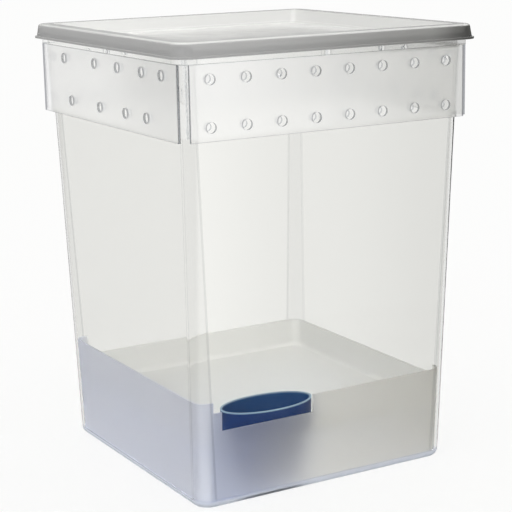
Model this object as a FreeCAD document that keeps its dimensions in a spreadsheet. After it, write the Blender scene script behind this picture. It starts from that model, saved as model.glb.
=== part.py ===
import FreeCAD, Part
import math
import os
import Sketcher

# Reptile terrarium box: a tapered see-through tub with a lid, four perforated vent panels,
# a frosted floor tray and a water cup. Millimetres, +Z up, origin at the centre of the
# resting face. The front is -Y and the left is -X.

doc = FreeCAD.newDocument("TerrariumBox")

# Driving dimensions. Every "half" is measured from the middle of the box to a face, and
# every "drop" is measured down from the tub's rim.
DIMENSIONS = {
    # tub
    "TubBaseHalf": 131.75,
    "TubRimHalf": 142.05,
    "TubHeight": 407.5,
    "TubWall": 2.5,
    "TubFloor": 3.0,
    "TubBaseCorner": 16.0,
    "TubRimCorner": 9.0,
    "TubFootRound": 7.0,
    "TubInnerRound": 4.5,
    # flange under the rim, which the panels hang from
    "FlangeWidth": 5.95,
    "FlangeCorner": 15.0,
    "FlangeDrop": 16.5,
    "FlangeThickness": 4.5,
    # vent panels
    "PanelInset": 1.0,
    "PanelThickness": 2.5,
    "PanelEndGap": 3.05,
    "PanelHeight": 64.0,
    "PanelHole": 9.4,
    "WallHole": 7.0,
    # hole rows of the front and back panels
    "FrontPitch": 34.2,
    "FrontTopDrop": 29.2,
    "FrontLowDrop": 68.9,
    # hole rows of the side panels, with the uneven spacing of the real ones
    "SideTopDrop": 27.2,
    "SideLowDrop": 65.7,
    "SideTopA": 90.0,
    "SideTopB": 22.5,
    "SideTopC": -25.0,
    "SideTopD": -73.0,
    "SideTopE": -110.0,
    "SideLowA": 76.0,
    "SideLowB": 13.5,
    "SideLowC": -39.0,
    "SideLowD": -80.0,
    # lid
    "LidOverhang": 7.95,
    "LidSkirtFlare": 1.6,
    "LidCorner": 14.0,
    "LidSkirt": 2.0,
    "LidCap": 2.0,
    "LidEdgeRound": 3.0,
    "LipWidth": 1.8,
    "LipDrop": 11.3,
    "LipThickness": 1.8,
    "LidPlugGap": 0.8,
    "LidPlugDraft": 4.0,
    "LidPanel": 2.0,
    "LidPanelDrop": 13.0,
    "LidWellCorner": 5.5,
    "LidWellRound": 3.5,
    "PlatformMargin": 64.0,
    "PlatformCorner": 26.0,
    "PlatformRise": 2.0,
    # floor tray
    "TrayGap": 1.2,
    "TrayWall": 1.8,
    "TrayBottom": 5.0,
    "TrayLeftRim": 97.0,
    "TrayFrontRim": 87.0,
    "TrayBackRim": 78.0,
    "TrayStepInset": 15.25,
    "TrayFloorTop": 50.0,
    "TrayFloorRound": 4.0,
    "TrayFootInset": 31.75,
    "TrayFootRadius": 6.0,
    "WindowInset": 23.75,
    "WindowWidth": 94.0,
    "WindowBottom": 69.6,
    # water cup
    "CupMiddleX": -47.0,
    "CupFromFront": 29.25,
    "CupRimHalfX": 46.0,
    "CupRimHalfY": 24.0,
    "CupRim": 78.0,
    "CupBandBottom": 60.0,
    "CupBandDraft": 0.6,
    "CupBaseHalfX": 32.0,
    "CupBaseHalfY": 15.5,
    "CupWall": 1.8,
    "CupFloor": 2.4,
    "CupHoleGap": 1.0,
}

# Places that follow from the driving dimensions.
FLANGE_BOTTOM = "(TubHeight - FlangeDrop)"
FLANGE_HALF = "(TubRimHalf + FlangeWidth)"
PANEL_OUTER = f"({FLANGE_HALF} - PanelInset)"
PANEL_INNER = f"({PANEL_OUTER} - PanelThickness)"
PANEL_END = "(TubRimHalf - PanelEndGap)"
LID_TOP = "(TubHeight + LidCap)"
LID_TOP_HALF = "(TubRimHalf + LidOverhang)"
LID_SKIRT_HALF = f"({LID_TOP_HALF} + LidSkirtFlare)"
LIP_BOTTOM = "(TubHeight - LipDrop)"
LID_PANEL_BOTTOM = "(TubHeight - LidPanelDrop)"
TRAY_STEP = "(TubBaseHalf - TrayStepInset)"
TRAY_FOOT = "(TubBaseHalf - TrayFootInset)"
WINDOW_LEFT = "(WindowInset - TubBaseHalf)"
CUP_MIDDLE_Y = "(CupFromFront - TubBaseHalf)"

sheet = doc.addObject("Spreadsheet::Sheet", "Sizes")
for row, (alias, value) in enumerate(DIMENSIONS.items(), start=1):
    sheet.set(f"A{row}", alias)
    sheet.set(f"B{row}", str(value))
    sheet.setAlias(f"B{row}", alias)
doc.recompute()


def linked(formula):
    """The formula with every alias written as a reference to the sheet."""
    words = sorted(DIMENSIONS, key=len, reverse=True)
    text = formula
    for number, word in enumerate(words):
        text = text.replace(word, f"<{number}>")
    for number, word in enumerate(words):
        text = text.replace(f"<{number}>", f"Sizes.{word}")
    return text


def number_of(formula):
    """The formula's present value in millimetres."""
    value = sheet.evalExpression(linked(formula))
    return float(getattr(value, "Value", value))


def new_body(name):
    """An empty body whose label names its node."""
    body = doc.addObject("PartDesign::Body", name)
    body.Label = name
    return body


def new_sketch(body, name, plane, offset):
    """A sketch on one of the body's own origin planes, moved along the plane's normal."""
    sketch = body.newObject("Sketcher::SketchObject", name)
    support = next(item for item in body.Origin.OriginFeatures if item.Role == plane)
    sketch.AttachmentSupport = [(support, "")]
    sketch.MapMode = "FlatFace"
    sketch.setExpression("AttachmentOffset.Base.z", linked(offset))
    return sketch


def bind(sketch, constraint, formula):
    """Add a size constraint that follows the sheet."""
    index = sketch.addConstraint(constraint)
    sketch.setExpression(f"Constraints[{index}]", linked(formula))


def bind_place(sketch, kind, formula, geometry, point):
    """Fix a point's X or Y from the sketch's origin, on whichever side the formula says."""
    value = number_of(formula)
    if value >= 0:
        bind(sketch, Sketcher.Constraint(kind, -1, 1, geometry, point, value), formula)
    else:
        bind(sketch, Sketcher.Constraint(kind, geometry, point, -1, 1, -value), f"-({formula})")


def add_rectangle(sketch, left, right, bottom, top):
    """A plain rectangle between four formulas."""
    x0, x1, y0, y1 = (number_of(side) for side in (left, right, bottom, top))
    corners = [(x0, y0), (x1, y0), (x1, y1), (x0, y1)]
    first = sketch.GeometryCount
    for index, (x, y) in enumerate(corners):
        next_x, next_y = corners[(index + 1) % 4]
        start = FreeCAD.Vector(x, y, 0)
        end = FreeCAD.Vector(next_x, next_y, 0)
        sketch.addGeometry(Part.LineSegment(start, end), False)
    for index in range(4):
        sketch.addConstraint(
            Sketcher.Constraint("Coincident", first + index, 2, first + (index + 1) % 4, 1)
        )
    for index, kind in enumerate(("Horizontal", "Vertical", "Horizontal", "Vertical")):
        sketch.addConstraint(Sketcher.Constraint(kind, first + index))
    bind_place(sketch, "DistanceX", left, first, 1)
    bind_place(sketch, "DistanceX", right, first, 2)
    bind_place(sketch, "DistanceY", bottom, first, 1)
    bind_place(sketch, "DistanceY", top, first + 2, 1)


def add_rounded_square(sketch, half, radius):
    """A square about the sketch's origin with round corners."""
    side = number_of(half)
    bend = number_of(radius)
    flat = side - bend
    quarter = math.pi / 2
    ends = [
        ((-flat, -side), (flat, -side)),
        ((side, -flat), (side, flat)),
        ((flat, side), (-flat, side)),
        ((-side, flat), (-side, -flat)),
    ]
    centres = [(flat, -flat), (flat, flat), (-flat, flat), (-flat, -flat)]
    for start, end in ends:
        sketch.addGeometry(
            Part.LineSegment(FreeCAD.Vector(*start, 0), FreeCAD.Vector(*end, 0)), False
        )
    for index, centre in enumerate(centres):
        circle = Part.Circle(FreeCAD.Vector(*centre, 0), FreeCAD.Vector(0, 0, 1), bend)
        start_angle = (index - 1) * quarter
        sketch.addGeometry(Part.ArcOfCircle(circle, start_angle, start_angle + quarter), False)
    for index in range(4):
        arc = 4 + index
        sketch.addConstraint(Sketcher.Constraint("Tangent", index, 2, arc, 1))
        sketch.addConstraint(Sketcher.Constraint("Tangent", arc, 2, (index + 1) % 4, 1))
    for index, kind in enumerate(("Horizontal", "Vertical", "Horizontal", "Vertical")):
        sketch.addConstraint(Sketcher.Constraint(kind, index))
    for arc in (5, 6, 7):
        sketch.addConstraint(Sketcher.Constraint("Equal", 4, arc))
    bind(sketch, Sketcher.Constraint("Radius", 4, bend), radius)
    bind_place(sketch, "DistanceY", f"-({half})", 0, 1)
    bind_place(sketch, "DistanceX", half, 1, 1)
    bind_place(sketch, "DistanceY", half, 2, 1)
    bind_place(sketch, "DistanceX", f"-({half})", 3, 1)


def add_circle(sketch, x, y, diameter):
    """A circle at two formulas."""
    centre = FreeCAD.Vector(number_of(x), number_of(y), 0)
    radius = number_of(diameter) / 2
    index = sketch.addGeometry(Part.Circle(centre, FreeCAD.Vector(0, 0, 1), radius), False)
    bind(sketch, Sketcher.Constraint("Diameter", index, number_of(diameter)), diameter)
    bind_place(sketch, "DistanceX", x, index, 3)
    bind_place(sketch, "DistanceY", y, index, 3)


def add_oval(sketch, half_x, half_y):
    """An upright-standing ellipse about the cup's middle, long side along X."""
    middle = FreeCAD.Vector(number_of("CupMiddleX"), number_of(CUP_MIDDLE_Y), 0)
    long_end = middle + FreeCAD.Vector(number_of(half_x), 0, 0)
    short_end = middle + FreeCAD.Vector(0, number_of(half_y), 0)
    oval = sketch.addGeometry(Part.Ellipse(long_end, short_end, middle), False)
    sketch.exposeInternalGeometry(oval)
    long_axis = oval + 1
    short_axis = oval + 2
    sketch.addConstraint(Sketcher.Constraint("Horizontal", long_axis))
    bind_place(sketch, "DistanceX", "CupMiddleX", oval, 3)
    bind_place(sketch, "DistanceY", CUP_MIDDLE_Y, oval, 3)
    bind(
        sketch,
        Sketcher.Constraint("Distance", long_axis, 2 * number_of(half_x)),
        f"2 * ({half_x})",
    )
    bind(
        sketch,
        Sketcher.Constraint("Distance", short_axis, 2 * number_of(half_y)),
        f"2 * ({half_y})",
    )


def pad(body, name, sketch, length):
    """Material from the sketch along its normal."""
    feature = body.newObject("PartDesign::Pad", name)
    feature.Profile = sketch
    feature.Type = "Length"
    feature.setExpression("Length", linked(length))
    doc.recompute()
    return feature


def pocket(body, name, sketch, length, reverse=False):
    """A cut from the sketch; reverse cuts along the sketch's normal."""
    before = body.Shape.Volume
    feature = body.newObject("PartDesign::Pocket", name)
    feature.Profile = sketch
    feature.Type = "Length"
    feature.Reversed = reverse
    feature.setExpression("Length", linked(length))
    doc.recompute()
    if not body.Shape.Volume < before:
        raise RuntimeError(f"{name} removes nothing")
    return feature


def through_cut(body, name, sketch):
    """A cut through the whole body on both sides of the sketch."""
    before = body.Shape.Volume
    feature = body.newObject("PartDesign::Pocket", name)
    feature.Profile = sketch
    feature.Type = "ThroughAll"
    feature.Midplane = True
    doc.recompute()
    if not body.Shape.Volume < before:
        raise RuntimeError(f"{name} removes nothing")
    return feature


def loft(body, name, sections, cut=False):
    """A straight-sided loft through the sections, as material or as a cut."""
    before = 0 if body.Shape.isNull() else body.Shape.Volume
    kind = "PartDesign::SubtractiveLoft" if cut else "PartDesign::AdditiveLoft"
    feature = body.newObject(kind, name)
    feature.Profile = sections[0]
    feature.Sections = sections[1:]
    feature.Ruled = True
    doc.recompute()
    if cut and not body.Shape.Volume < before:
        raise RuntimeError(f"{name} removes nothing")
    return feature


def square_loft(body, name, levels, cut=False):
    """A loft down through rounded squares; a level is height, half side and corner radius."""
    sections = []
    for index, (height, half, radius) in enumerate(levels, start=1):
        sketch = new_sketch(body, f"{name}Section{index}", "XY_Plane", height)
        add_rounded_square(sketch, half, radius)
        sections.append(sketch)
    doc.recompute()
    return loft(body, name, sections, cut)


def round_edges(body, name, base, radius, wanted):
    """Round the base feature's edges that the test picks out."""
    edges = [
        f"Edge{index}" for index, edge in enumerate(base.Shape.Edges, start=1) if wanted(edge)
    ]
    if not edges:
        raise RuntimeError(f"{name} finds no edge")
    feature = body.newObject("PartDesign::Fillet", name)
    feature.Base = (base, edges)
    feature.setExpression("Radius", linked(radius))
    doc.recompute()
    return feature


def level_edge(height, half):
    """A test for edges that lie flat at a height, further out than a half side."""
    level = number_of(height)

    def test(edge):
        box = edge.BoundBox
        flat = abs(box.ZMin - level) < 0.01 and abs(box.ZMax - level) < 0.01
        reach = max(abs(box.XMin), abs(box.XMax), abs(box.YMin), abs(box.YMax))
        return flat and reach > half

    return test


def tub_half(height):
    """Formula for the tub's outer half side at a height."""
    return f"(TubBaseHalf + (TubRimHalf - TubBaseHalf) * ({height}) / TubHeight)"


def tub_corner(height):
    """Formula for the tub's outer corner radius at a height."""
    return f"(TubBaseCorner + (TubRimCorner - TubBaseCorner) * ({height}) / TubHeight)"


def tub_level(height, inset):
    """Height, half side and corner radius of the tub's shape moved inwards."""
    return (height, f"{tub_half(height)} - ({inset})", f"{tub_corner(height)} - ({inset})")


# Edges that reach further out than this, in mm, belong to the walls.
WALL_REACH = 100

FRONT_COLUMN_COUNT = 8
FRONT_MIDDLE = (FRONT_COLUMN_COUNT - 1) / 2
FRONT_COLUMNS = [f"FrontPitch * {n - FRONT_MIDDLE}" for n in range(FRONT_COLUMN_COUNT)]
SIDE_TOP_COLUMNS = [f"SideTop{letter}" for letter in "ABCDE"]
SIDE_LOW_COLUMNS = [f"SideLow{letter}" for letter in "ABCD"]
FRONT_HOLES = [(x, "TubHeight - FrontTopDrop") for x in FRONT_COLUMNS]
FRONT_HOLES += [(x, "TubHeight - FrontLowDrop") for x in FRONT_COLUMNS]
SIDE_HOLES = [(y, "TubHeight - SideTopDrop") for y in SIDE_TOP_COLUMNS]
SIDE_HOLES += [(y, "TubHeight - SideLowDrop") for y in SIDE_LOW_COLUMNS]


def build_tub():
    """Tapered tub with an outward flange near its rim and vent holes behind the panels."""
    body = new_body("tub")
    shell = square_loft(body, "TubOutside", [tub_level("TubHeight", "0"), tub_level("0", "0")])
    round_edges(body, "TubFoot", shell, "TubFootRound", level_edge("0", WALL_REACH))

    flange = new_sketch(body, "FlangeOutline", "XY_Plane", FLANGE_BOTTOM)
    add_rounded_square(flange, FLANGE_HALF, "FlangeCorner")
    pad(body, "Flange", flange, "FlangeThickness")

    cavity = square_loft(
        body,
        "TubInside",
        [tub_level("TubHeight", "TubWall"), tub_level("TubFloor", "TubWall")],
        cut=True,
    )
    floor_edge = level_edge("TubFloor", WALL_REACH)
    round_edges(body, "TubInnerFoot", cavity, "TubInnerRound", floor_edge)

    front_holes = new_sketch(body, "FrontBackHoles", "XZ_Plane", "0")
    for x, row in FRONT_HOLES:
        add_circle(front_holes, x, row, "WallHole")
    through_cut(body, "FrontBackVents", front_holes)
    side_holes = new_sketch(body, "SideHoles", "YZ_Plane", "0")
    for y, row in SIDE_HOLES:
        add_circle(side_holes, y, row, "WallHole")
    through_cut(body, "SideVents", side_holes)
    return body


def build_panel(name, plane, inner_start, holes):
    """Flat perforated panel hanging from the flange."""
    body = new_body(name)
    outline = new_sketch(body, f"{name}_outline", plane, inner_start)
    panel_bottom = f"{FLANGE_BOTTOM} - PanelHeight"
    add_rectangle(outline, f"-{PANEL_END}", PANEL_END, panel_bottom, FLANGE_BOTTOM)
    for place, row in holes:
        add_circle(outline, place, row, "PanelHole")
    pad(body, f"{name}_sheet", outline, "PanelThickness")
    return body


def build_lid():
    """Lid with a flared skirt, a sunken panel inside the tub's mouth and a raised platform."""
    body = new_body("lid")
    cap = square_loft(
        body,
        "LidOutside",
        [
            (LID_TOP, LID_TOP_HALF, "LidCorner"),
            (f"{LIP_BOTTOM} + LipThickness", LID_SKIRT_HALF, "LidCorner"),
        ],
    )
    round_edges(body, "LidEdge", cap, "LidEdgeRound", level_edge(LID_TOP, WALL_REACH))
    lip = new_sketch(body, "LipOutline", "XY_Plane", LIP_BOTTOM)
    add_rounded_square(lip, f"{LID_SKIRT_HALF} + LipWidth", "LidCorner + LipWidth")
    pad(body, "Lip", lip, "LipThickness")

    # Channel under the cap, which the tub's rim stands in up to its ceiling.
    square_loft(
        body,
        "LidChannel",
        [
            ("TubHeight", f"{LID_TOP_HALF} - LidSkirt", "LidCorner - LidSkirt"),
            (LIP_BOTTOM, f"{LID_SKIRT_HALF} - LidSkirt", "LidCorner - LidSkirt"),
        ],
        cut=True,
    )

    # Plug that drops inside the tub's mouth, hollowed from above.
    plug_top = "(TubRimHalf - TubWall - LidPlugGap)"
    plug_corner = "(TubRimCorner - TubWall)"
    well_bottom = f"{LID_PANEL_BOTTOM} + LidPanel"
    square_loft(
        body,
        "LidPlug",
        [
            ("TubHeight", plug_top, plug_corner),
            (LID_PANEL_BOTTOM, f"{plug_top} - LidPlugDraft", plug_corner),
        ],
    )
    well = square_loft(
        body,
        "LidWell",
        [
            (LID_TOP, f"{plug_top} - LidPanel", "LidWellCorner"),
            (well_bottom, f"{plug_top} - LidPlugDraft - LidPanel", "LidWellCorner"),
        ],
        cut=True,
    )
    well_floor = level_edge(well_bottom, WALL_REACH)
    round_edges(body, "LidWellEdge", well, "LidWellRound", well_floor)

    # The platform rises from the panel, which keeps its thickness under it.
    platform = new_sketch(body, "PlatformOutline", "XY_Plane", well_bottom)
    platform_half = f"({LID_TOP_HALF} - PlatformMargin)"
    add_rounded_square(platform, platform_half, "PlatformCorner")
    pad(body, "Platform", platform, "PlatformRise")
    hollow = new_sketch(body, "PlatformHollow", "XY_Plane", LID_PANEL_BOTTOM)
    add_rounded_square(hollow, f"{platform_half} - LidPanel", "PlatformCorner - LidPanel")
    pocket(body, "PlatformUnderside", hollow, "PlatformRise", reverse=True)
    return body


def cup_half(way, height, gap):
    """Formula for the cup's outer half size along X or Y, below its rim band, plus a gap."""
    share = f"(({height} - TubFloor) / (CupBandBottom - TubFloor))"
    band = f"(CupRimHalf{way} - CupBandDraft)"
    base = f"CupBaseHalf{way}"
    return f"{base} + ({band} - {base}) * {share} + ({gap})"


def build_tray():
    """Frosted liner: walls that follow the tub, a raised floor, four feet and a window."""
    body = new_body("floor_tray")
    wall = "TubWall + TrayGap"
    inner = "TubWall + TrayGap + TrayWall"
    square_loft(
        body, "TrayOutside", [tub_level("TrayLeftRim", wall), tub_level("TrayBottom", wall)]
    )
    inside = square_loft(
        body,
        "TrayInside",
        [tub_level("TrayLeftRim", inner), tub_level("TrayFloorTop", inner)],
        cut=True,
    )
    floor_edge = level_edge("TrayFloorTop", WALL_REACH)
    round_edges(body, "TrayFloorEdge", inside, "TrayFloorRound", floor_edge)
    square_loft(
        body,
        "TrayUnderside",
        [tub_level("TrayFloorTop - TrayWall", inner), tub_level("TrayBottom", inner)],
        cut=True,
    )

    # The rim is highest on the left, lower at the front and lowest behind and on the right.
    front_step = new_sketch(body, "FrontStepOutline", "XY_Plane", "TrayFrontRim")
    add_rectangle(front_step, f"-{TRAY_STEP}", "TubRimHalf", "-TubRimHalf", "TubRimHalf")
    pocket(body, "FrontStep", front_step, "TrayLeftRim - TrayFrontRim", reverse=True)
    back_step = new_sketch(body, "BackStepOutline", "XY_Plane", "TrayBackRim")
    add_rectangle(back_step, f"-{TRAY_STEP}", "TubRimHalf", f"-{TRAY_STEP}", "TubRimHalf")
    pocket(body, "BackStep", back_step, "TrayLeftRim - TrayBackRim", reverse=True)

    window = new_sketch(body, "WindowOutline", "XY_Plane", "WindowBottom")
    window_right = f"{WINDOW_LEFT} + WindowWidth"
    add_rectangle(window, WINDOW_LEFT, window_right, "-TubRimHalf", f"-{TRAY_STEP}")
    pocket(body, "Window", window, "TrayLeftRim - WindowBottom", reverse=True)

    feet = new_sketch(body, "FeetOutlines", "XY_Plane", "TubFloor")
    for x in (f"-{TRAY_FOOT}", TRAY_FOOT):
        for y in (f"-{TRAY_FOOT}", TRAY_FOOT):
            add_circle(feet, x, y, "TrayFootRadius * 2")
    pad(body, "Feet", feet, "TrayFloorTop - TrayWall - TubFloor")

    # The cup's hole also clears the round between the floor and the front wall.
    hole_top = "TrayFloorTop + TrayFloorRound"
    cup_hole = new_sketch(body, "CupHoleOutline", "XY_Plane", "TrayFloorTop - TrayWall")
    add_oval(cup_hole, cup_half("X", hole_top, "CupHoleGap"), cup_half("Y", hole_top, "CupHoleGap"))
    pocket(body, "CupHole", cup_hole, "TrayWall + TrayFloorRound", reverse=True)
    return body


def oval_loft(body, name, levels, cut=False):
    """A loft down through ovals; a level is height, half length and half width."""
    sections = []
    for index, (height, half_x, half_y) in enumerate(levels, start=1):
        sketch = new_sketch(body, f"{name}Section{index}", "XY_Plane", height)
        add_oval(sketch, half_x, half_y)
        sections.append(sketch)
    doc.recompute()
    return loft(body, name, sections, cut)


# The cup's outside and inside: name, height of the bottom, inset from the outside, whether cut.
CUP_LOFTS = [
    ("CupOutside", "TubFloor", "0", False),
    ("CupInside", "TubFloor + CupFloor", "CupWall", True),
]


def build_cup():
    """Oval water cup: an upright rim band over a tapering body."""
    body = new_body("water_cup")
    for name, start, wall, cut in CUP_LOFTS:
        band_x = f"CupRimHalfX - CupBandDraft - {wall}"
        band_y = f"CupRimHalfY - CupBandDraft - {wall}"
        taper = [
            ("CupBandBottom", band_x, band_y),
            (start, f"CupBaseHalfX - {wall}", f"CupBaseHalfY - {wall}"),
        ]
        band = [
            ("CupRim", f"CupRimHalfX - {wall}", f"CupRimHalfY - {wall}"),
            ("CupBandBottom", band_x, band_y),
        ]
        oval_loft(body, f"{name}Taper", taper, cut)
        oval_loft(body, f"{name}Band", band, cut)
    return body


nodes = [
    build_tub(),
    build_lid(),
    build_panel("front_vent_panel", "XZ_Plane", PANEL_INNER, FRONT_HOLES),
    build_panel("back_vent_panel", "XZ_Plane", f"-{PANEL_OUTER}", FRONT_HOLES),
    build_panel("left_vent_panel", "YZ_Plane", f"-{PANEL_OUTER}", SIDE_HOLES),
    build_panel("right_vent_panel", "YZ_Plane", PANEL_INNER, SIDE_HOLES),
    build_tray(),
    build_cup(),
]
doc.recompute()

# Nothing is written unless every object is sound.
for item in doc.Objects:
    if "Invalid" in item.State or "Error" in item.State:
        raise RuntimeError(f"{item.Name} did not build: {item.State}")
for node in nodes:
    shape = node.Shape
    if shape.isNull() or not shape.isValid() or len(shape.Solids) != 1:
        raise RuntimeError(f"{node.Label} is not one sound solid")

os.makedirs("parts", exist_ok=True)
for node in nodes:
    node.Shape.exportStep(f"parts/{node.Label}.step")
    box = node.Shape.optimalBoundingBox()
    size = f"{box.XLength:.1f} x {box.YLength:.1f} x {box.ZLength:.1f} mm"
    print(f"{node.Label}: {size}, {node.Shape.Volume / 1000:.1f} cm3")
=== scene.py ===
# %% [markdown]
# # Dressing a see-through terrarium box
#
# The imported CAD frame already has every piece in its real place: a tapered tub with four
# perforated vent panels, a lift-off lid, a frosted floor tray and a water cup. This lesson
# gives those pieces plastics that let light through as the real ones do, then sets up a
# plain studio and the camera of the photograph. Everything is in metres, in the CAD frame.

# %% Load the frame
import math

import bpy
from mathutils import Matrix, Vector

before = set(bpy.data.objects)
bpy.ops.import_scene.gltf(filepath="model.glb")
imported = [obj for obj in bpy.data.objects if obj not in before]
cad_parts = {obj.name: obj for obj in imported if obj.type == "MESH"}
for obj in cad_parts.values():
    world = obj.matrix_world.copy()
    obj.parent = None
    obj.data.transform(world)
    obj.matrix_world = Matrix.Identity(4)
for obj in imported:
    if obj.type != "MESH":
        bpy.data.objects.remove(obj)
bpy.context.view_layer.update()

# %% [markdown]
# ## Small helpers
#
# Colours are written as the sRGB hex that a picture shows and go through one function to
# the linear values that Blender works in. Pattern sizes are written in millimetres.


# %% Colours, sizes and nodes
def linear(hex_colour):
    """Linear RGBA of an sRGB colour such as "#1a2b3c"."""
    digits = hex_colour.lstrip("#")
    channels = [int(digits[i:i + 2], 16) / 255 for i in (0, 2, 4)]
    converted = [c / 12.92 if c <= 0.04045 else ((c + 0.055) / 1.055) ** 2.4 for c in channels]
    return (*converted, 1.0)


def cycles_per_metre(millimetres):
    """Texture scale at which a pattern repeats about every so many millimetres."""
    return 1000 / millimetres


def add_node(tree, kind, settings=None, links=None):
    """Add a node, set its inputs or properties by name, and link sockets into it."""
    node = tree.nodes.new(kind)
    for name, value in (settings or {}).items():
        if name in node.inputs:
            node.inputs[name].default_value = value
        else:
            setattr(node, name, value)
    for name, source in (links or {}).items():
        tree.links.new(source, node.inputs[name])
    return node


def new_material(name):
    """An empty node material and its output node."""
    material = bpy.data.materials.new(name)
    material.use_nodes = True
    material.node_tree.nodes.clear()
    output = add_node(material.node_tree, "ShaderNodeOutputMaterial")
    return material, output


def dress(node_name, material):
    """Give a CAD node the material in its one slot."""
    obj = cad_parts[node_name]
    obj.data.materials.clear()
    obj.data.materials.append(material)


# %% [markdown]
# ## Moulded plastics
#
# Every wall is thin moulded plastic, so one recipe serves them all. Light mostly passes
# through it with a slight tint at each surface, and a little is scattered by the milkiness
# of the plastic. The gloss is slightly smeared and the surface waves by a tenth of a
# millimetre, as moulded sheet does. Lamp light that reaches the inside is let through the
# walls with a small loss. Nothing is absorbed along the way: pieces touch face to face, and
# a ray that slips between two such faces would otherwise be darkened for its whole path.


# %% Uneven gloss and a wavy surface
def smeared_roughness(tree, place, rough, change):
    """Roughness that drifts by the change over patches of a few centimetres."""
    smear = add_node(
        tree,
        "ShaderNodeTexNoise",
        {"Scale": cycles_per_metre(35), "Detail": 3.0, "Roughness": 0.6},
        {"Vector": place},
    )
    drift = add_node(
        tree,
        "ShaderNodeMapRange",
        {"From Min": 0.3, "From Max": 0.7, "To Min": rough - change, "To Max": rough + change},
        {"Value": smear.outputs["Fac"]},
    )
    return drift.outputs["Result"]


def wavy_normal(tree, place, height):
    """Slow waves of the surface, with the height in metres."""
    wave = add_node(
        tree,
        "ShaderNodeTexNoise",
        {"Scale": cycles_per_metre(60), "Detail": 1.0},
        {"Vector": place},
    )
    bump = add_node(
        tree,
        "ShaderNodeBump",
        {"Strength": 1.0, "Distance": height},
        {"Height": wave.outputs["Fac"]},
    )
    return bump.outputs["Normal"]


# %% The shader of a light-passing plastic
def plastic_shader(tree, output, settings, links, passing, cut=None):
    """Connect a plastic's surface and how it lets lamp light by.

    Cut holds a share and a tint: there the surface only tints what is seen through it.
    """
    shader = add_node(tree, "ShaderNodeBsdfPrincipled", settings, links)
    surface = shader.outputs["BSDF"]
    if cut:
        tinted = add_node(tree, "ShaderNodeBsdfTransparent", links={"Color": cut[1]})
        either = add_node(tree, "ShaderNodeMixShader", links={"Fac": cut[0]})
        tree.links.new(surface, either.inputs[1])
        tree.links.new(tinted.outputs["BSDF"], either.inputs[2])
        surface = either.outputs["Shader"]
    by = add_node(tree, "ShaderNodeBsdfTransparent", {"Color": linear(passing)})
    path = add_node(tree, "ShaderNodeLightPath")
    lit = add_node(tree, "ShaderNodeMixShader", links={"Fac": path.outputs["Is Shadow Ray"]})
    tree.links.new(surface, lit.inputs[1])
    tree.links.new(by.outputs["BSDF"], lit.inputs[2])
    tree.links.new(lit.outputs["Shader"], output.inputs["Surface"])


def math_node(tree, operation, first, second=None):
    """The result of one sum; an input is a number or a socket."""
    node = add_node(tree, "ShaderNodeMath", {"operation": operation})
    for index, value in enumerate((first, second)):
        if value is None:
            continue
        if isinstance(value, (int, float)):
            node.inputs[index].default_value = value
        else:
            tree.links.new(value, node.inputs[index])
    return node.outputs["Value"]


def ramp_of(tree, value, start, end, low=0.0, high=1.0):
    """A smooth change from low to high between two values."""
    node = add_node(
        tree,
        "ShaderNodeMapRange",
        {
            "interpolation_type": "SMOOTHSTEP",
            "From Min": start,
            "From Max": end,
            "To Min": low,
            "To Max": high,
        },
        {"Value": value},
    )
    return node.outputs["Result"]


def mix_colours(tree, share, first, second):
    """A blend of two colours, each a hex or a socket."""
    node = add_node(tree, "ShaderNodeMix", {"data_type": "RGBA"})
    tree.links.new(share, node.inputs["Factor"])
    for index, value in ((6, first), (7, second)):
        if isinstance(value, str):
            node.inputs[index].default_value = linear(value)
        else:
            tree.links.new(value, node.inputs[index])
    return node.outputs[2]


def cut_edges(tree, axes):
    """One on the cut edges and hole walls of upright sheets, nothing on their broad faces."""
    facing = add_node(tree, "ShaderNodeNewGeometry").outputs["True Normal"]
    normal = add_node(tree, "ShaderNodeSeparateXYZ", links={"Vector": facing})
    across = math_node(tree, "ABSOLUTE", axes.outputs["X"])
    along = math_node(tree, "ABSOLUTE", axes.outputs["Y"])
    on_front = math_node(tree, "GREATER_THAN", along, across)
    side_turn = math_node(tree, "ABSOLUTE", normal.outputs["X"])
    front_turn = math_node(tree, "ABSOLUTE", normal.outputs["Y"])
    change = math_node(tree, "SUBTRACT", front_turn, side_turn)
    squareness = math_node(tree, "ADD", side_turn, math_node(tree, "MULTIPLY", on_front, change))
    return ramp_of(tree, squareness, 0.9, 0.6)


# %% [markdown]
# ## The tub's plastic
#
# Three things show on the clear walls: a thin grey line where each flat wall turns into a
# round corner, with a faint grey over the corner, both painted shade standing in for the light
# bent there; grey rings where the vent holes go through; and a frosted foot. The lines
# follow the tub's own taper: its half side grows and its corner radius shrinks from the
# base to the rim. The side walls are painted slightly greyer as shade, and the front is
# painted greyer to its right, the most so in the flange under the lid, as a painted shadow.
# Around the holes and the flange light leaves the plastic straight, so that none is
# trapped in the flange.

# %% Clear tub plastic
BASE_HALF = 0.13175
RIM_HALF = 0.14205
BASE_CORNER = 0.016
RIM_CORNER = 0.009
TUB_HEIGHT = 0.4075
LINE_WIDTH = 0.0009
FOOT_FROST = 0.009
HOLES_FROM = 0.33
PAINTED_SHADE_FROM = -0.02
LEFT_WALL_FROM = -0.128
PAINTED_LID_SHADOW_FROM = 0.390

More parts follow.
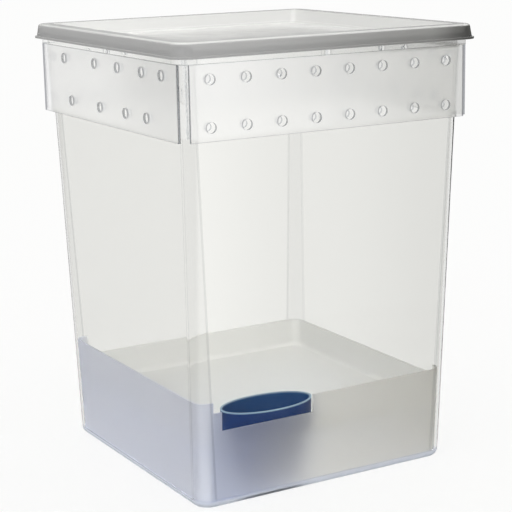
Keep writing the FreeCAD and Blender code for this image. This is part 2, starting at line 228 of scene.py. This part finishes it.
tub_plastic, tub_output = new_material("clear_tub_plastic")
tree = tub_plastic.node_tree
place = add_node(tree, "ShaderNodeTexCoord").outputs["Object"]
axes = add_node(tree, "ShaderNodeSeparateXYZ", links={"Vector": place})
across = math_node(tree, "ABSOLUTE", axes.outputs["X"])
along = math_node(tree, "ABSOLUTE", axes.outputs["Y"])
inner = math_node(tree, "MINIMUM", across, along)
flat_rise = (RIM_HALF - RIM_CORNER - BASE_HALF + BASE_CORNER) / TUB_HEIGHT
flat_end = math_node(tree, "MULTIPLY_ADD", axes.outputs["Z"], flat_rise)
flat_end.node.inputs[2].default_value = BASE_HALF - BASE_CORNER
past_flat = math_node(tree, "SUBTRACT", inner, flat_end)
from_line = math_node(tree, "ABSOLUTE", past_flat)
# Painted shade: a thin grey line where the flat wall turns round, and a faint grey over the round
# corner, standing in for the light bent there.
line = ramp_of(tree, from_line, LINE_WIDTH, 0.0, 0.0, 0.35)
corner = ramp_of(tree, past_flat, 0.0, LINE_WIDTH, 0.0, 0.06)
near_holes = ramp_of(tree, axes.outputs["Z"], HOLES_FROM - 0.002, HOLES_FROM)
edges = cut_edges(tree, axes)
rings = math_node(tree, "MULTIPLY", edges, near_holes)
leaving = add_node(tree, "ShaderNodeNewGeometry").outputs["Backfacing"]
either = math_node(tree, "MAXIMUM", edges, leaving)
straight_through = math_node(tree, "MULTIPLY", either, near_holes)
painted_corner_line_shade = math_node(tree, "ADD", line, corner)
foot = ramp_of(tree, axes.outputs["Z"], FOOT_FROST, 0.6 * FOOT_FROST)
# Painted shade: the front greys towards its right and the left wall is greyer, as the light falls.
painted_shade_to_right = ramp_of(tree, axes.outputs["X"], PAINTED_SHADE_FROM, RIM_HALF)
painted_shade_on_left = ramp_of(tree, axes.outputs["X"], LEFT_WALL_FROM, LEFT_WALL_FROM - 0.004)
painted_side_shade = math_node(tree, "MAXIMUM", painted_shade_to_right, painted_shade_on_left)
# Painted shadow of the lid's skirt on the flange, strongest to the right; it greys the rings there too.
painted_lid_shadow = ramp_of(tree, axes.outputs["Z"], PAINTED_LID_SHADOW_FROM - 0.003, PAINTED_LID_SHADOW_FROM)
painted_flange_shadow = math_node(tree, "MULTIPLY", painted_lid_shadow, painted_shade_to_right)
painted_shade_side_colour = mix_colours(tree, painted_side_shade, "#fafaf8", "#eeeeec")
painted_shadow_colour = mix_colours(tree, painted_flange_shadow, painted_shade_side_colour, "#dededd")
wall_colour = mix_colours(tree, painted_corner_line_shade, painted_shadow_colour, "#6e7276")
edge_colour = mix_colours(tree, rings, "#ffffff", "#dcdee0")
ring_colour = mix_colours(tree, painted_flange_shadow, edge_colour, "#dededd")
tub_colour = mix_colours(tree, foot, wall_colour, "#e2e6ee")
gloss = smeared_roughness(tree, place, 0.05, 0.03)
tub_gloss = math_node(tree, "MAXIMUM", gloss, math_node(tree, "MULTIPLY", foot, 0.5))
plastic_shader(
    tree,
    tub_output,
    {"Transmission Weight": 1.0, "IOR": 1.2, "Specular IOR Level": 1.0},
    {
        "Base Color": tub_colour,
        "Roughness": tub_gloss,
        "Normal": wavy_normal(tree, place, 0.00012),
    },
    "#fafafa",
    (straight_through, ring_colour),
)


# %% [markdown]
# ## Panels, lid and cup
#
# The vent panels are thin clear sheet with greyer cut edges: light bends where it enters
# the sheet and leaves it straight, so none is trapped inside. They grey to the right as painted
# shade. The lid is a little cloudier; its skirt is painted greyer as shade, darkest at its right
# end, and its top greys slightly to the right as painted shade. The cup is solid navy; the paler
# line along its rim is a painted highlight, and its inside is painted lighter as lit.

# %% Vent panel plastic
PANEL_END = 0.139

panel_plastic, panel_output = new_material("clear_panel_plastic")
tree = panel_plastic.node_tree
place = add_node(tree, "ShaderNodeTexCoord").outputs["Object"]
axes = add_node(tree, "ShaderNodeSeparateXYZ", links={"Vector": place})
# Painted shade: the panels grey towards the right.
painted_shade_to_right = ramp_of(tree, axes.outputs["X"], PAINTED_SHADE_FROM, PANEL_END)
across = math_node(tree, "ABSOLUTE", axes.outputs["X"])
along = math_node(tree, "ABSOLUTE", axes.outputs["Y"])
from_middle = math_node(tree, "MINIMUM", across, along)
at_end = ramp_of(tree, from_middle, PANEL_END - 0.0005, PANEL_END - 0.0001)
edge_colour = mix_colours(tree, at_end, "#b8babc", "#a8aaae")
edges = cut_edges(tree, axes)
leaving = add_node(tree, "ShaderNodeNewGeometry").outputs["Backfacing"]
straight_through = math_node(tree, "MAXIMUM", edges, leaving)
plastic_shader(
    tree,
    panel_output,
    {
        "Transmission Weight": 0.9,
        "IOR": 1.15,
        "Coat Weight": 0.25,
        "Coat Roughness": 0.15,
    },
    {
        "Base Color": mix_colours(tree, painted_shade_to_right, "#ffffff", "#e0e0de"),
        "Roughness": smeared_roughness(tree, place, 0.5, 0.04),
        "Normal": wavy_normal(tree, place, 0.00004),
    },
    "#fafafa",
    (straight_through, mix_colours(tree, edges, "#ffffff", edge_colour)),
)

# %% Lid plastic
SKIRT_HALF = 0.1490
SKIRT_CORNER = 0.0150
PAINTED_SKIRT_SHADE_FROM = 0.095

lid_plastic, lid_output = new_material("cloudy_lid_plastic")
tree = lid_plastic.node_tree
place = add_node(tree, "ShaderNodeTexCoord").outputs["Object"]
axes = add_node(tree, "ShaderNodeSeparateXYZ", links={"Vector": place})
corner_middle = SKIRT_HALF - SKIRT_CORNER
across = math_node(tree, "ABSOLUTE", axes.outputs["X"])
along = math_node(tree, "ABSOLUTE", axes.outputs["Y"])
past_x = math_node(tree, "MAXIMUM", math_node(tree, "SUBTRACT", across, corner_middle), 0.0)
past_y = math_node(tree, "MAXIMUM", math_node(tree, "SUBTRACT", along, corner_middle), 0.0)
past = add_node(tree, "ShaderNodeCombineXYZ", links={"X": past_x, "Y": past_y})
reach = add_node(tree, "ShaderNodeVectorMath", {"operation": "LENGTH"})
tree.links.new(past.outputs["Vector"], reach.inputs[0])
facing = add_node(tree, "ShaderNodeNewGeometry").outputs["True Normal"]
normal = add_node(tree, "ShaderNodeSeparateXYZ", links={"Vector": facing})
rise = math_node(tree, "ABSOLUTE", normal.outputs["Z"])
upright = ramp_of(tree, rise, 0.8, 0.4)
at_skirt = ramp_of(tree, reach.outputs["Value"], SKIRT_CORNER - 0.0005, SKIRT_CORNER)
on_skirt = math_node(tree, "MULTIPLY", upright, at_skirt)
on_lip = math_node(tree, "SUBTRACT", upright, on_skirt)
through = ramp_of(tree, on_lip, 0.0, 1.0, 0.4, 0.2)
# Painted shade: the skirt is greyer than the top, greys towards the right and is darkest at its right
# end; the top also greys slightly to the right.
painted_shade_to_right = ramp_of(tree, axes.outputs["X"], -SKIRT_HALF, SKIRT_HALF)
painted_shade_right_end = ramp_of(tree, axes.outputs["X"], PAINTED_SKIRT_SHADE_FROM, SKIRT_HALF)
painted_shade_side_colour = mix_colours(tree, painted_shade_to_right, "#bababa", "#949492")
painted_shade_skirt_colour = mix_colours(tree, painted_shade_right_end, painted_shade_side_colour, "#565654")
flat_colour = mix_colours(tree, painted_shade_to_right, "#f8f8f6", "#f1f1ef")
plastic_shader(
    tree,
    lid_output,
    {
        "IOR": 1.3,
    },
    {
        "Base Color": mix_colours(tree, on_skirt, flat_colour, painted_shade_skirt_colour),
        "Transmission Weight": through,
        "Roughness": smeared_roughness(tree, place, 0.2, 0.04),
        "Normal": wavy_normal(tree, place, 0.00004),
    },
    "#fafafa",
)

# %% Cup plastic
PAINTED_HIGHLIGHT_FROM = 0.0768
CUP_MIDDLE = (-0.047, -0.1025, 0.040)

cup_plastic, cup_output = new_material("blue_cup_plastic")
tree = cup_plastic.node_tree
place = add_node(tree, "ShaderNodeTexCoord").outputs["Object"]
axes = add_node(tree, "ShaderNodeSeparateXYZ", links={"Vector": place})
# Painted highlight: a paler line along the top of the rim.
painted_rim_highlight = ramp_of(tree, axes.outputs["Z"], PAINTED_HIGHLIGHT_FROM, PAINTED_HIGHLIGHT_FROM + 0.0005)
outward = add_node(tree, "ShaderNodeVectorMath", {"operation": "SUBTRACT"})
outward.inputs[1].default_value = CUP_MIDDLE
tree.links.new(place, outward.inputs[0])
facing = add_node(tree, "ShaderNodeNewGeometry").outputs["True Normal"]
agreement = add_node(tree, "ShaderNodeVectorMath", {"operation": "DOT_PRODUCT"})
tree.links.new(outward.outputs["Vector"], agreement.inputs[0])
tree.links.new(facing, agreement.inputs[1])
# Painted light: the inside of the cup is a lighter blue than the outside, as lit.
inside = math_node(tree, "LESS_THAN", agreement.outputs["Value"], 0.0)
wall_colour = mix_colours(tree, inside, "#1a3668", "#2a4f80")
add_node(
    tree,
    "ShaderNodeBsdfPrincipled",
    {"Specular IOR Level": 0.1},
    {
        "Base Color": mix_colours(tree, painted_rim_highlight, wall_colour, "#86a0b4"),
        "Roughness": smeared_roughness(tree, place, 0.3, 0.05),
        "Normal": wavy_normal(tree, place, 0.00004),
    },
)
tree.links.new(tree.nodes[-1].outputs["BSDF"], cup_output.inputs["Surface"])

# %% [markdown]
# ## The frosted tray
#
# The tray is frosted all over, so the cup behind its front wall is only a blue cloud. Its
# left wall, and the front wall towards the left, are painted a little bluer as the cup's blue
# light, and the front wall is painted slightly darker as shade. The plastic gets milkier
# towards the bottom, where the cloud fades out.

# %% Frosted tray plastic
PAINTED_BLUE_END = -0.10
CLEAR_END = 0.01
WALL_FROM = -0.115
MILKY_UP_TO = 0.065

tray_plastic, tray_output = new_material("frosted_tray_plastic")
tree = tray_plastic.node_tree
place = add_node(tree, "ShaderNodeTexCoord").outputs["Object"]
axes = add_node(tree, "ShaderNodeSeparateXYZ", links={"Vector": place})
# Painted light: the left wall and the left of the front wall are tinted blue, as the cup's blue light
# scattered in the frost.
left_wall = ramp_of(tree, axes.outputs["X"], WALL_FROM, WALL_FROM - 0.007)
front_wall = ramp_of(tree, axes.outputs["Y"], WALL_FROM, WALL_FROM - 0.007)
painted_blue_to_left = ramp_of(tree, axes.outputs["X"], CLEAR_END, PAINTED_BLUE_END)
painted_blue_light = math_node(tree, "MULTIPLY", front_wall, painted_blue_to_left)
# Painted shade: the front wall is slightly darker than the rest.
front_shade = mix_colours(tree, front_wall, "#f8f8f6", "#eeedea")
front_colour = mix_colours(tree, painted_blue_light, front_shade, "#d6dae8")
tray_colour = mix_colours(tree, left_wall, front_colour, "#f5f7ff")
plastic_shader(
    tree,
    tray_output,
    {"IOR": 1.4, "Specular IOR Level": 0.3},
    {
        "Base Color": tray_colour,
        "Transmission Weight": ramp_of(tree, axes.outputs["Z"], 0.0, MILKY_UP_TO, 0.65, 0.85),
        "Roughness": smeared_roughness(tree, place, 0.92, 0.05),
        "Normal": wavy_normal(tree, place, 0.00005),
    },
    "#fafafc",
)

# %% Put the plastics on the pieces
dress("tub", tub_plastic)
dress("lid", lid_plastic)
for side in ("front", "back", "left", "right"):
    dress(f"{side}_vent_panel", panel_plastic)
dress("floor_tray", tray_plastic)
dress("water_cup", cup_plastic)

# %% [markdown]
# ## Studio
#
# The floor is one pale plane that carries the object's shadow and reads as white through
# clear plastic. The backdrop is white to the camera and through the walls, and the rest of
# the studio is darker, which is what greys the walls where they are seen at a slant. One
# broad sun from the upper left adds to the even light.

# %% Floor
FLOOR_HALF = 30.0
FLOOR_DROP = 0.0003


def add_floor():
    """A large pale plane just under the resting face."""
    mesh = bpy.data.meshes.new("studio_floor")
    corners = [(-1, -1), (1, -1), (1, 1), (-1, 1)]
    points = [(x * FLOOR_HALF, y * FLOOR_HALF, -FLOOR_DROP) for x, y in corners]
    mesh.from_pydata(points, [], [(0, 1, 2, 3)])
    floor = bpy.data.objects.new("studio_floor", mesh)
    bpy.context.collection.objects.link(floor)
    return floor


# %% How white the studio is to each kind of ray
STUDIO_LIGHT = 0.8
STUDIO_MIRRORED = 0.3


def studio_white(tree, path):
    """White to the camera and through plastic, dark in reflections, pale as a light."""
    white = math_node(
        tree, "MAXIMUM", path.outputs["Is Camera Ray"], path.outputs["Is Transmission Ray"]
    )
    other = ramp_of(
        tree, path.outputs["Is Glossy Ray"], 0.0, 1.0, STUDIO_LIGHT, STUDIO_MIRRORED
    )
    missing = math_node(tree, "SUBTRACT", 1.0, other)
    return math_node(tree, "ADD", other, math_node(tree, "MULTIPLY", white, missing))


# %% Floor material
FLOOR_COLOUR = "#f2f2f0"
FLOOR_OWN_WHITE = 0.7

floor_material, floor_output = new_material("pale_studio_floor")
tree = floor_material.node_tree
path = add_node(tree, "ShaderNodeLightPath")
bounced = math_node(tree, "MAXIMUM", path.outputs["Is Glossy Ray"], path.outputs["Is Transmission Ray"])
to_camera = math_node(tree, "MULTIPLY", path.outputs["Is Camera Ray"], FLOOR_OWN_WHITE)
own_white = math_node(tree, "MAXIMUM", bounced, to_camera)
lit = add_node(tree, "ShaderNodeBsdfDiffuse", {"Color": linear(FLOOR_COLOUR)})
glow = add_node(tree, "ShaderNodeEmission", links={"Strength": studio_white(tree, path)})
mixed = add_node(tree, "ShaderNodeMixShader", links={"Fac": own_white})
tree.links.new(lit.outputs["BSDF"], mixed.inputs[1])
tree.links.new(glow.outputs["Emission"], mixed.inputs[2])
tree.links.new(mixed.outputs["Shader"], floor_output.inputs["Surface"])
floor = add_floor()
floor.data.materials.append(floor_material)

# %% World and lamp
SUN_STRENGTH = 1.5
SUN_SOFTNESS = math.radians(60)
SUN_FROM = Vector((-0.35, -0.5, 1.0))

world = bpy.data.worlds.new("studio_world")
bpy.context.scene.world = world
world.use_nodes = True
tree = world.node_tree
tree.nodes.clear()
path = add_node(tree, "ShaderNodeLightPath")
sky = add_node(tree, "ShaderNodeBackground", links={"Strength": studio_white(tree, path)})
world_output = add_node(tree, "ShaderNodeOutputWorld")
tree.links.new(sky.outputs["Background"], world_output.inputs["Surface"])

sun_data = bpy.data.lights.new("soft_sun", "SUN")
sun_data.energy = SUN_STRENGTH
sun_data.angle = SUN_SOFTNESS
sun = bpy.data.objects.new("soft_sun", sun_data)
sun.rotation_euler = (-SUN_FROM).to_track_quat("-Z", "Y").to_euler()
bpy.context.collection.objects.link(sun)

# %% [markdown]
# ## Camera
#
# The photograph was taken from the front left, a little above the lid. These angles and
# the focal length come from fitting the box's straight edges to the picture.

# %% Place the camera
CAMERA_PLACE = (-0.71688, -1.24502, 0.51370)
CAMERA_YAW = math.radians(30.107)
CAMERA_DOWN = math.radians(12.776)
CAMERA_ROLL = math.radians(-1.118)
CAMERA_LENS = 107.86

camera_data = bpy.data.cameras.new("photo_camera")
camera_data.lens = CAMERA_LENS
camera_data.sensor_width = 36.0
camera = bpy.data.objects.new("photo_camera", camera_data)
turn = Matrix.Rotation(-CAMERA_YAW, 3, "Z")
tilt = Matrix.Rotation(math.pi / 2 - CAMERA_DOWN, 3, "X")
roll = Matrix.Rotation(CAMERA_ROLL, 3, "Z")
camera.matrix_world = Matrix.Translation(CAMERA_PLACE) @ (turn @ tilt @ roll).to_4x4()
bpy.context.collection.objects.link(camera)
bpy.context.scene.camera = camera
bpy.context.scene.view_settings.view_transform = "Standard"
